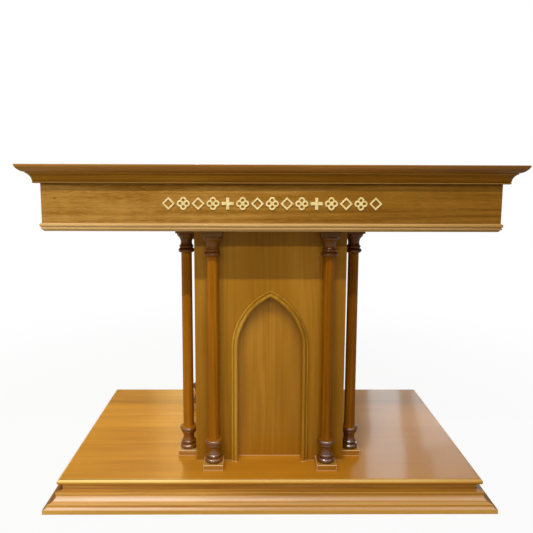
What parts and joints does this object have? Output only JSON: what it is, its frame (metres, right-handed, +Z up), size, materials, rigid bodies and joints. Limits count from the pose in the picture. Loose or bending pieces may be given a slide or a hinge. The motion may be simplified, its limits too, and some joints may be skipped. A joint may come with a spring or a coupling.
{
  "type": "communion table",
  "caption": "Wooden communion table: a moulded top with a gilt frieze row on a square pedestal with a lancet niche, turned columns on every face and a moulded base.",
  "frame": {"origin": "on the floor, under the middle of the table", "axes": "+X along the table's length to the right as seen from the front, +Y towards the back, +Z up"},
  "size_m": [1.294, 0.744, 0.95],
  "materials": {
    "long_grain_wood": "honey-brown stained hardwood under gloss varnish, grain along the boards",
    "upright_grain_wood": "honey-brown stained veneer under satin varnish, grain upright",
    "column_wood": "red-brown stained turned hardwood under gloss varnish",
    "carcass_wood": "bare planed softwood, hidden inside",
    "gilt": "pale gold, satin",
    "screw_steel": "zinc plated"
  },
  "bodies": {
    "root": {"abaci": "column_wood", "arch_trim_left": "upright_grain_wood", "arch_trim_right": "upright_grain_wood", "bead_moulding_back": "long_grain_wood", "bead_moulding_front": "long_grain_wood", "bead_moulding_left": "long_grain_wood", "bead_moulding_right": "long_grain_wood", "cleats": "carcass_wood", "column_back_1": "column_wood", "column_back_2": "column_wood", "column_front_1": "column_wood", "column_front_2": "column_wood", "column_left_1": "column_wood", "column_left_2": "column_wood", "column_right_1": "column_wood", "column_right_2": "column_wood", "corner_blocks": "carcass_wood", "corner_posts": "carcass_wood", "cove_moulding_back": "long_grain_wood", "cove_moulding_front": "long_grain_wood", "cove_moulding_left": "long_grain_wood", "cove_moulding_right": "long_grain_wood", "deck": "long_grain_wood", "foot_plate": "carcass_wood", "frieze_back": "long_grain_wood", "frieze_front": "long_grain_wood", "frieze_left": "long_grain_wood", "frieze_right": "long_grain_wood", "gilt_crosses": "gilt", "gilt_lozenges": "gilt", "gilt_quatrefoils": "gilt", "head_plate": "carcass_wood", "joists": "carcass_wood", "niche_panel": "upright_grain_wood", "pedestal_back": "upright_grain_wood", "pedestal_front": "upright_grain_wood", "pedestal_left": "upright_grain_wood", "pedestal_right": "upright_grain_wood", "plinth_block_back_1": "upright_grain_wood", "plinth_block_back_2": "upright_grain_wood", "plinth_block_front_1": "upright_grain_wood", "plinth_block_front_2": "upright_grain_wood", "plinth_block_left_1": "upright_grain_wood", "plinth_block_left_2": "upright_grain_wood", "plinth_block_right_1": "upright_grain_wood", "plinth_block_right_2": "upright_grain_wood", "plinth_moulding_back": "long_grain_wood", "plinth_moulding_front": "long_grain_wood", "plinth_moulding_left": "long_grain_wood", "plinth_moulding_right": "long_grain_wood", "ribs": "carcass_wood", "riser_back": "long_grain_wood", "riser_front": "long_grain_wood", "riser_left": "long_grain_wood", "riser_right": "long_grain_wood", "soffit": "long_grain_wood", "table_top": "long_grain_wood", "wood_screws": "screw_steel"}
  },
  "joints": []
}
